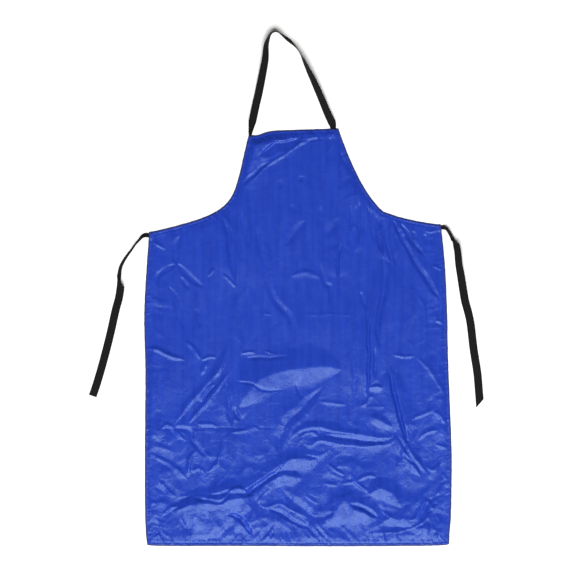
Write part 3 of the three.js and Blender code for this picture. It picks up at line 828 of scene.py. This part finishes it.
# A groove is its depth, the width of its front and back sides, how far the cloth swells up
# beside it, and the line of its bottom.
GROOVES = [
    # Bib.
    (4.6, 19, 5, 42, [(-98, 445), (-86, 453), (-73, 461), (-51, 475), (-25, 477), (-4, 484), (8, 491)]),
    (0.8, 2, 2, 0, [(-117, 468), (-97, 469), (-60, 479), (6, 482), (96, 485)]),
    (2.5, 6, 6, 42, [(-142, 370), (-112, 396), (-89, 418), (-66, 433)]),
    (0.8, 12, 12, 0, [(-45, 386), (-40, 366)]),
    (0.8, 10, 10, 0, [(7, 398), (9, 382)]),
    (0.9, 10, 10, 0, [(-17, 325), (-8, 304)]),
    (1.2, 9, 9, 0, [(56, 322), (56, 265)]),
    (1.6, 14, 14, 0, [(18, 287), (-4, 259), (-30, 223)]),
    (1.2, 14, 14, 0, [(103, 293), (68, 243)]),
    (1.6, 9, 9, 0, [(144, 325), (138, 267)]),
    (2.0, 9, 9, 0, [(124, 272), (137, 211)]),
    (1.6, 6, 6, 0, [(180, 316), (194, 264)]),
    (1.4, 7, 7, 0, [(-139, 309), (-132, 267), (-122, 214)]),
    (1.2, 7, 7, 0, [(-104, 277), (-91, 214), (-83, 190)]),
    (1.8, 6, 6, 0, [(105, 453), (119, 421), (127, 407)]),
    # Upper body.
    (3.6, 10, 10, 42, [(-187, 300), (-171, 255), (-166, 215), (-160, 172), (-154, 132)]),
    (2.4, 10, 10, 0, [(-287, 250), (-301, 210), (-297, 177)]),
    (2.0, 7, 7, 0, [(-297, 180), (-322, 167), (-345, 150), (-341, 124)]),
    (2.2, 8, 8, 0, [(-298, 182), (-267, 150), (-231, 124)]),
    (2.4, 8, 8, 0, [(-317, 125), (-296, 85), (-279, 16)]),
    (1.5, 6, 6, 0, [(-287, 150), (-266, 118)]),
    (1.5, 7, 7, 0, [(-250, 72), (-240, 26)]),
    (3.0, 20, 20, 42, [(-123, 120), (-132, 60), (-131, -23)]),
    (2.5, 10, 10, 42, [(-87, 247), (-76, 150), (-61, 100), (-16, 40), (-11, -45)]),
    (2.0, 7, 7, 0, [(-107, 270), (-87, 200), (-67, 135)]),
    (1.8, 7, 7, 0, [(53, 187), (64, 135), (79, 120), (78, 77)]),
    (2.8, 5, 5, 42, [(107, 230), (96, 185), (97, 142)]),
    (2.5, 12, 12, 42, [(139, 277), (133, 206)]),
    (2.2, 6, 6, 0, [(183, 302), (210, 262)]),
    (3.4, 8, 8, 42, [(208, 297), (220, 225), (231, 180)]),
    (4.5, 10, 10, 42, [(208, 197), (213, 140), (205, 80), (196, 20), (199, -30)]),
    (5.0, 5, 5, 42, [(172, 65), (173, 0), (173, -80), (170, -148)]),
    (2.0, 5, 5, 0, [(152, 114), (169, 67)]),
    (3.4, 8, 8, 42, [(253, 252), (278, 200), (313, 145), (352, 86)]),
    (2.5, 4, 4, 42, [(233, 290), (255, 244)]),
    (2.5, 22, 22, 42, [(285, 55), (283, -23)]),
    (1.6, 6, 6, 0, [(280, 260), (289, 240)]),
    (1.6, 6, 6, 0, [(310, 255), (315, 230)]),
    (3.2, 5, 5, 0, [(168, 322), (176, 298), (184, 262), (188, 232)]),
    (3.5, 5, 5, 0, [(184, 306), (190, 280), (198, 240), (203, 206)]),
    (3.5, 5, 5, 0, [(203, 300), (205, 270), (206, 236), (208, 200)]),
    (3.5, 5, 5, 0, [(216, 296), (222, 255), (233, 205), (240, 172)]),
    (3.5, 5, 5, 0, [(234, 290), (249, 255), (270, 212), (284, 184)]),
    (3.2, 5, 5, 0, [(250, 284), (270, 250), (296, 216), (312, 196)]),
    (2.9, 5, 5, 0, [(148, 335), (149, 303), (150, 262), (148, 230)]),
    (2.6, 5, 5, 0, [(128, 325), (131, 285), (126, 240), (124, 205)]),
    # Middle.
    (3.0, 4, 4, 42, [(-237, -163), (-217, -134), (-200, -113)]),
    (3.5, 10, 10, 42, [(-178, -107), (-171, -157), (-161, -219)]),
    (3.0, 8, 8, 42, [(-161, -172), (-140, -204)]),
    (2.0, 4, 4, 0, [(-139, -34), (-139, -104)]),
    (1.5, 5, 5, 0, [(-137, -52), (-77, -50), (-15, -47)]),
    (1.6, 4, 4, 0, [(-156, -109), (-117, -112), (-87, -128), (-35, -129)]),
    (1.6, 5, 5, 0, [(-5, -113), (3, -132), (12, -154)]),
    (3.5, 16, 16, 42, [(63, -119), (13, -172), (-26, -208), (-42, -247), (-46, -289)]),
    (2.5, 9, 9, 42, [(135, -22), (139, -107), (139, -154)]),
    (2.5, 5, 5, 42, [(188, -24), (189, -104)]),
    (7.0, 7, 7, 42, [(223, -74), (234, -137), (249, -192), (258, -227), (267, -256)]),
    (3.0, 8, 8, 42, [(60, -238), (113, -248), (168, -254), (223, -257)]),
    (0.8, 4, 4, 0, [(-367, -223), (-287, -222), (-177, -223), (-42, -223)]),
    (2.5, 8, 8, 42, [(-312, -224), (-266, -228), (-256, -257), (-217, -298)]),
    # Lower.
    (3.0, 6, 6, 42, [(-258, -393), (-217, -400), (-185, -400), (-167, -383)]),
    (4.0, 8, 8, 42, [(-133, -393), (-107, -370), (-77, -347), (-40, -327)]),
    (4.5, 8, 8, 42, [(-172, -432), (-137, -448), (-110, -489)]),
    (2.5, 7, 7, 42, [(-76, -420), (-37, -433), (-6, -453), (35, -470)]),
    (2.5, 4, 4, 42, [(256, -285), (284, -311)]),
    (4.0, 8, 8, 42, [(127, -405), (163, -421), (195, -443)]),
    (3.0, 20, 20, 42, [(193, -462), (263, -465), (315, -462)]),
    (3.0, 14, 14, 42, [(334, -427), (325, -462), (322, -492)]),
    (3.0, 16, 16, 42, [(-40, -375), (3, -413), (48, -443), (95, -428)]),
    (1.6, 7, 7, 0, [(-285, -442), (-281, -457), (-273, -480)]),
]


def nearest_on(line, x, y):
    """For points near a line: the distance, whether it is on the right, the share along."""
    best = np.full(len(x), np.inf)
    side = np.zeros(len(x))
    share = np.zeros(len(x))
    along = lengths_along(line)
    for a, b, start in zip(line, line[1:], along):
        way = b - a
        length = float(np.hypot(*way))
        px, py = x - a[0], y - a[1]
        t = np.clip((px * way[0] + py * way[1]) / length**2, 0, 1)
        dx, dy = px - t * way[0], py - t * way[1]
        away = np.hypot(dx, dy)
        closer = away < best
        best = np.where(closer, away, best)
        side = np.where(closer, way[0] * py - way[1] * px, side)
        share = np.where(closer, (start + t * length) / along[-1], share)
    return best, side < 0, share


def tapered(share, end=0.3):
    """A fold is full along its middle and runs out towards both ends."""
    return np.sqrt(smooth(share / end) * smooth((1 - share) / end))


CREST = 0.0012
GROOVE_BOTTOM = CREST * 0.8
FOLD_STEP = 0.007
# How high the cloth swells beside a groove, as a share of the groove's depth.
SHOULDER_RISE = 0.62


def fold_heights(x, y):
    """The height that the ridges and the grooves give, before the edges hold it down."""
    # Real creases wander, so each point reads the folds from slightly beside itself.
    bent_x = x + soft_bumps(x, y, 0.030, 11) * 0.0022 + soft_bumps(x, y, 0.011, 12) * 0.0007
    bent_y = y + soft_bumps(x, y, 0.030, 13) * 0.0022 + soft_bumps(x, y, 0.011, 14) * 0.0007
    raised = np.zeros(len(x))
    sunk = np.zeros(len(x))

    def near(line, reach):
        low, high = line.min(0) - reach, line.max(0) + reach
        inside = (bent_x > low[0]) & (bent_x < high[0]) & (bent_y > low[1]) & (bent_y < high[1])
        return np.nonzero(inside)[0]

    for height, front, back, points in RIDGES:
        line = spline(np.array(points) * MM, FOLD_STEP)
        which = near(line, max(front, back) * MM)
        away, right, share = nearest_on(line, bent_x[which], bent_y[which])
        full = tapered(share) + 0.001
        width = np.where(right, front, back) * MM * full
        rounded = np.hypot(away, CREST) - CREST
        u = np.clip(rounded / width, 0, 1.2)
        slope = np.where(u < 0.8, 1 - u, np.maximum(0, 1.2 - u)**2 * 1.25)
        raised[which] = np.maximum(raised[which], height * MM * full * slope)
    for depth, front, back, shoulder, points in GROOVES:
        line = spline(np.array(points) * MM, FOLD_STEP)
        which = near(line, max(front * 1.3, back * 1.3, shoulder) * MM)
        away, right, share = nearest_on(line, bent_x[which], bent_y[which])
        full = tapered(share) + 0.001
        if shoulder:
            swell = (1 - smooth(away / (shoulder * MM * full))) * full
            raised[which] = np.maximum(raised[which], depth * SHOULDER_RISE * MM * swell)
        rounded = np.hypot(away, GROOVE_BOTTOM) - GROOVE_BOTTOM
        width = np.where(right, front, back) * MM * full
        cut = np.clip(1 - rounded / width, 0, 1)
        sunk[which] = np.maximum(sunk[which], depth * MM * full * cut)
    return raised - sunk


outline_tree = KDTree(len(outline))
for place, (edge_x, edge_y) in enumerate(outline):
    outline_tree.insert((edge_x, edge_y, 0.0), place)
outline_tree.balance()

# Heights: the cloth's edge, its middle, and the least that it may have.
EDGE_TOP = 0.0017
SPREAD = 0.0028
LOWEST = 0.0006
TAPE_LIFT = 0.0017
# How high each kind of unevenness stands.
BROAD_SWELL = 0.0018
SMALL_SWELL, SMALL_SWELL_LOW_DOWN = 0.0004, 0.0009
STREAK, FINE_STREAK = 0.0006, 0.00012
CRUMPLE = 0.0024
FACET, SMALL_FACET = 0.0021, 0.0008
BIB_GATHER = 0.0042
STITCH_CHANNEL, CHANNEL_WIDE = 0.0009, 0.0013
# Widths of the band that the hem holds down, round the edge and more along the bottom.
HELD = 0.022
HELD_MORE_LOW_DOWN = 0.036
PUCKERS = {
    "skirt": 0.0012, "bib": 0.0010, "right_side": 0.0007, "left_side": 0.0006,
    "right_armhole": 0.0008, "left_armhole": 0.0010,
}
GATHERS = {
    "skirt": 0.0036, "bib": 0.0, "right_side": 0.0012, "left_side": 0.0011,
    "right_armhole": 0.0008, "left_armhole": 0.0008,
}
SEAM_IN = 0.008
BIB_SEAM_IN = 0.027
PUCKER_REACH = {"skirt": 0.034, "bib": 0.030, "right_side": 0.020, "left_side": 0.018}


def lift_over_tapes(x, y):
    """How far the hem is lifted where a folded tape end lies under it."""
    lift = np.zeros(len(x))
    for name, (seat, way) in SEATS.items():
        sewn = NECK_SEWN if name.startswith("neck") else TIE_SEWN
        centre = 0.0 if name.startswith("neck") else 0.0049
        dx, dy = x - seat.x, y - seat.y
        ahead = dx * way.x + dy * way.y
        across = dx * way.y - dy * way.x
        inside = 1 - smooth((np.abs(across - centre) - 0.0040) / 0.0090)
        under = 1 - smooth((-ahead - sewn + 0.003) / 0.012)
        lift = np.maximum(lift, inside * under)
    return lift * TAPE_LIFT


def surface(x, y):
    """The height of the cloth's front face above the floor."""
    flat = [outline_tree.find((a, b, 0.0)) for a, b in zip(x, y)]
    place = np.array([f[1] for f in flat])
    inwards = np.array([f[2] for f in flat])
    along = edge_place[place]
    loose = SPREAD + fold_heights(x, y)
    loose += soft_bumps(x, y, 0.150, 21) * BROAD_SWELL
    low_down = smooth((0.02 - y) / 0.30)
    loose += soft_bumps(x, y, 0.060, 22) * (SMALL_SWELL + SMALL_SWELL_LOW_DOWN * low_down)
    loose += ribbed_bumps(x + y * 0.06, y * 0.35, 0.021, 23) * STREAK
    loose += ribbed_bumps(x - y * 0.03, y * 0.25, 0.009, 26) * FINE_STREAK
    # The cloth is the most crumpled in its lower third and round its edges.
    where = 0.12 + 0.78 * smooth((-0.02 - y) / 0.30) + 0.35 * (1 - smooth(inwards / 0.07))
    where *= smooth(0.55 + 0.8 * soft_bumps(x, y, 0.085, 24))
    loose += crumples(x, y) * where * CRUMPLE
    # Facets along the bottom, and up both sides of it.
    low_left = smooth((-0.24 - x) / 0.06) * smooth((-0.18 - y) / 0.06)
    low_right = smooth((x - 0.03) / 0.08) * smooth((-0.25 - y) / 0.07)
    broken = np.maximum(smooth((-0.38 - y) / 0.07), np.maximum(low_left, low_right))
    loose += (facets(x, y, 0.040, 51) * FACET + facets(x, y, 0.017, 55) * SMALL_FACET) * broken
    # Along the bottom the heavy hem keeps a wider band of cloth down.
    held = HELD + HELD_MORE_LOW_DOWN * smooth((-0.43 - y) / 0.05)
    hold = smooth((inwards - 0.003) / held)
    height = EDGE_TOP + (loose - EDGE_TOP) * hold
    # Short puckers cross the seam, where its thread draws the cloth up.
    strength = np.array([PUCKERS[edge_names[p]] for p in place])
    spell = 0.6 + 0.5 * ribbed_bumps(along, along * 0, 0.050, 31)
    ripple = np.abs(ribbed_bumps(along, inwards, 0.0060, 32))
    reach = np.array([PUCKER_REACH.get(edge_names[p], 0.013) for p in place])
    band = smooth((inwards - 0.0012) / 0.005) * (1 - smooth((inwards - 0.007) / reach))
    height += strength * spell * ripple * band * 1.5
    slanted = along + inwards * 0.9 * soft_bumps(along, along * 0, 0.080, 36)
    pleat = np.maximum(0, 0.85 - np.abs(ribbed_bumps(slanted, inwards * 0.4, 0.0170, 34)))
    pleat *= 0.35 + 0.9 * np.abs(ribbed_bumps(along, along * 0, 0.061, 35))
    gather = np.array([GATHERS[edge_names[p]] for p in place])
    late = 0.5 + 0.5 * soft_bumps(along, along * 0, 0.022, 37)
    height += gather * pleat * (
        smooth((inwards - 0.002 - 0.016 * late) / 0.015)
        * (1 - smooth((inwards - 0.016 - 0.022 * late) / 0.050))
    )
    # The bib hem is gathered between its edge and its seam, most of all on the right.
    on_bib = np.array([edge_names[p] == "bib" for p in place])
    drawn = np.abs(ribbed_bumps(along + inwards * 0.25, inwards * 0.3, 0.0072, 38))
    drawn *= 0.30 + 0.70 * smooth((x - 0.000) / 0.020)
    height += on_bib * drawn * BIB_GATHER * (
        smooth((inwards - 0.003) / 0.009) * (1 - smooth((inwards - 0.013) / 0.015))
    )
    # The row of stitches sits in a shallow channel.
    height -= STITCH_CHANNEL * np.exp(-((inwards - SEAM_IN) / CHANNEL_WIDE)**2)
    return np.maximum(height, LOWEST) + lift_over_tapes(x, y)


# Points over the panel: their finest spacing, the most of them, and their gap from the edge.
FINE = 0.0022
MOST_POINTS = 82000
EDGE_GAP = 0.0012


def grid_points():
    """Staggered points over the panel: close together where the cloth bends, else wide."""
    row = FINE * math.sqrt(3) / 2
    low, high = outline.min(0), outline.max(0)
    rows, columns = int((high[1] - low[1]) / row) + 2, int((high[0] - low[0]) / FINE) + 2
    j, i = np.mgrid[0:rows, 0:columns]
    x = low[0] + (i + 0.5 * (j % 2)) * FINE
    y = low[1] + j * row
    inside = np.zeros(x.shape, bool)
    a, b = outline, np.roll(outline, -1, axis=0)
    for r in range(rows):
        level = y[r, 0]
        cut = (a[:, 1] > level) != (b[:, 1] > level)
        share = (level - a[cut, 1]) / (b[cut, 1] - a[cut, 1])
        across = a[cut, 0] + share * (b[cut, 0] - a[cut, 0])
        inside[r] = (np.searchsorted(np.sort(across), x[r]) % 2) == 1
    x_in, y_in = x[inside], y[inside]
    edge_gap = np.array([outline_tree.find((p, q, 0.0))[2] for p, q in zip(x_in, y_in)])
    height = np.zeros(x.shape)
    height[inside] = surface(x_in, y_in)
    bend = np.zeros(x.shape)
    bend[1:-1, 1:-1] = np.abs(
        height[1:-1, 2:] + height[1:-1, :-2] + height[2:, 1:-1] + height[:-2, 1:-1]
        - 4 * height[1:-1, 1:-1]
    )
    coarse = (j % 2 == 0) & ((i - (j % 4 == 2)) % 2 == 0)
    clear = edge_gap > EDGE_SHADE_BAND + EDGE_GAP
    sharp = bend[inside][clear]
    kept_wide = coarse[inside][clear]
    spare = MOST_POINTS - int(kept_wide.sum())
    limit = np.sort(sharp[~kept_wide])[-spare] if spare < (~kept_wide).sum() else 0.0
    keep = kept_wide | (sharp >= limit)
    points = np.stack([x_in[clear], y_in[clear]], 1)
    return points[keep], height[inside][clear][keep]


# The hem lies this far above the floor, and its turned edge reaches in to these distances.
HEM_GAP = 0.0002
HEM_REACHES = (0.004, 0.0095)
ROLL_DEGREES = (40, 80, 120, 160, 180)


def build_panel():
    """The cloth: its front face, the edge rolled under, and the hem that lies beneath."""
    count = len(inner_edge)
    inside, inside_height = grid_points()
    flat = np.vstack([trim_edge, inside])
    loop = [(k, (k + 1) % count) for k in range(count)]
    found = delaunay_2d_cdt([Vector(p) for p in flat], loop, [], 1, 1e-7)
    coordinates, _, triangles, origins = found[:4]
    edge_height = surface(inner_edge[:, 0], inner_edge[:, 1])
    heights = np.concatenate([surface(trim_edge[:, 0], trim_edge[:, 1]), inside_height])
    vertices = np.array([
        (v[0], v[1], heights[o[0]] if o else EDGE_TOP) for v, o in zip(coordinates, origins)
    ])
    new_index = {o[0]: n for n, o in enumerate(origins) if o}
    rings = [[new_index[k] for k in range(count)]]
    lift = lift_over_tapes(outline[:, 0], outline[:, 1])
    middle = (edge_height + HEM_GAP + lift) / 2
    drop = (edge_height - HEM_GAP - lift) / 2
    extra = [np.column_stack([inner_edge, edge_height])]
    for degrees in ROLL_DEGREES:
        angle = math.radians(degrees)
        ring = inner_edge + outwards * (ROLL * math.sin(angle))
        extra.append(np.column_stack([ring, middle + drop * math.cos(angle)]))
    for reach in HEM_REACHES:
        ring = outline - outwards * reach
        extra.append(np.column_stack([ring, HEM_GAP + lift]))
    for number in range(len(extra)):
        first = len(vertices) + number * count
        rings.append(range(first, first + count))
    vertices = np.vstack([vertices, *extra])
    faces = [tuple(t) for t in triangles]
    top_count = len(faces)
    for upper, lower in zip(rings, rings[1:]):
        for k in range(count):
            n = (k + 1) % count
            faces.append((upper[n], upper[k], lower[k], lower[n]))
    piece = mesh_object("panel", vertices, faces, cloth_finish)
    # The edge band, the rolled edge and the hem beneath take the darker hem edge material: painted shade
    # for the rolled edge.
    piece.data.materials.append(edge_shade_finish)
    for face in piece.data.polygons[top_count:]:
        face.material_index = 1
    return piece


panel = build_panel()
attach(panel, "apron")
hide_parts("body_panel", *[f"{name}_hem" for name in EDGES])

# ---------------------------------------------------------------- stitches

STITCH = 0.0031
THREAD = 0.00045
THREAD_SIDES = 6
STITCH_RISE, STITCH_SUNK = 0.0003, 0.0001
STITCH_SHARES = (0.06, 0.22, 0.5, 0.78, 0.94)


def seam_line(name):
    """Where a row of stitches runs, in from its edge."""
    line = evenly(EDGES[name], 0.002)
    way = np.gradient(line, axis=0)
    way /= np.hypot(*way.T)[:, None]
    inwards = np.stack([-way[:, 1], way[:, 0]], 1)
    line = line + inwards * (BIB_SEAM_IN if name == "bib" else SEAM_IN)
    gap = np.array([outline_tree.find((a, b, 0.0))[2] for a, b in line])
    return line[gap > SEAM_IN - 0.0012]


def stitch_shape(start, end, top_start, top_end):
    """One stitch: a short thread that dips into the cloth at both ends."""
    way = end - start
    way = way / float(np.hypot(*way))
    left = np.array([-way[1], way[0]])
    points = []
    for share in STITCH_SHARES:
        middle = start + (end - start) * share
        rise = math.sin(math.pi * share)
        centre = top_start + (top_end - top_start) * share + STITCH_RISE * rise - STITCH_SUNK
        thick = THREAD / 2 * (0.55 + 0.45 * rise)
        for k in range(THREAD_SIDES):
            angle = 2 * math.pi * k / THREAD_SIDES
            spot = middle + left * (thick * math.cos(angle))
            points.append((*spot, centre + thick * math.sin(angle)))
    n = THREAD_SIDES
    faces = [
        (r * n + k, r * n + (k + 1) % n, (r + 1) * n + (k + 1) % n, (r + 1) * n + k)
        for r in range(len(STITCH_SHARES) - 1) for k in range(n)
    ]
    faces += [tuple(range(n - 1, -1, -1)), tuple(range(len(points) - n, len(points)))]
    return points, faces


def sew(name, lines, finish, replaced):
    """Rows of lockstitch along some lines, as one piece."""
    vertices, faces = [], []
    for line in lines:
        holes = evenly(line, STITCH)
        tops = surface(holes[:, 0], holes[:, 1])
        for a, b, top_a, top_b in zip(holes, holes[1:], tops, tops[1:]):
            points, sides = stitch_shape(a, b, top_a, top_b)
            faces += [tuple(len(vertices) + n for n in side) for side in sides]
            vertices += points
    piece = mesh_object(name, vertices, faces, finish)
    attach(piece, "apron")
    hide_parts(*replaced)
    return piece


hem_stitches = sew(
    "hem_stitches", [seam_line(name) for name in EDGES], blue_thread,
    [f"{name}_seam" for name in EDGES],
)


# A tack's box: how far in it starts and ends, then its two sides across the tape.
NECK_TACK = (0.003, NECK_SEWN - 0.003, -0.0036, 0.0036)
TIE_TACK = (0.0022, 0.0062, -0.0086, -0.0012)


def tack_lines(name):
    """A box of stitches through the hem, over the tape end beneath it."""
    seat, way = SEATS[name]
    left = Vector((-way.y, way.x))
    near, far, low, high = NECK_TACK if name.startswith("neck") else TIE_TACK
    corners = [
        np.array(seat - way * ahead + left * side)
        for ahead, side in ((near, low), (far, low), (far, high), (near, high), (near, low))
    ]
    return [np.array([a, b]) for a, b in zip(corners, corners[1:])]


tape_tacks = sew(
    "tape_tacks", [line for name in SEATS for line in tack_lines(name)], blue_thread,
    ["neck_strap_left_tack", "neck_strap_right_tack", "left_tie_tack", "right_tie_tack"],
)


# ---------------------------------------------------------------- floor and light

FLOOR_SIZE = 14.0
FLOOR_CELLS = 8
# One wide softbox beyond the apron's foot, aimed at its middle.
KEY_PLACE = (0.0, -6.15, 9.12)
KEY_SIZE = (10.5, 6.9)
KEY_WATTS = 2270
ROOM_STRENGTH = 0.15


def build_floor():
    """A wide white board that the apron lies on."""
    steps = np.linspace(-FLOOR_SIZE / 2, FLOOR_SIZE / 2, FLOOR_CELLS + 1)
    row = FLOOR_CELLS + 1
    vertices = [(x, y, 0.0) for y in steps for x in steps]
    faces = [
        (j * row + i, j * row + i + 1, (j + 1) * row + i + 1, (j + 1) * row + i)
        for j in range(FLOOR_CELLS) for i in range(FLOOR_CELLS)
    ]
    mesh = bpy.data.meshes.new("floor")
    mesh.from_pydata(vertices, [], faces)
    mesh.materials.append(painted_floor())
    floor = bpy.data.objects.new("floor", mesh)
    bpy.context.scene.collection.objects.link(floor)


def soft_box(name, place, size, watts, aim):
    """A softbox that the camera itself doesn't see."""
    data = bpy.data.lights.new(name, "AREA")
    data.shape = "RECTANGLE"
    data.size, data.size_y = size
    data.energy = watts
    lamp = bpy.data.objects.new(name, data)
    lamp.location = place
    lamp.rotation_euler = (Vector(aim) - Vector(place)).to_track_quat("-Z", "Y").to_euler()
    lamp.visible_camera = False
    bpy.context.scene.collection.objects.link(lamp)


def soft_room(strength):
    """A dim, even room round the apron."""
    world = bpy.data.worlds.new("soft_room")
    bpy.context.scene.world = world
    world.use_nodes = True
    tree = world.node_tree
    tree.nodes.clear()
    background = add(tree, "ShaderNodeBackground", {"Strength": strength})
    add(tree, "ShaderNodeOutputWorld", links={"Surface": background.outputs[0]})


build_floor()
soft_box("key", KEY_PLACE, KEY_SIZE, KEY_WATTS, (0.0, 0.0, 0.0))
soft_room(ROOM_STRENGTH)
bpy.context.scene.view_settings.view_transform = "Standard"
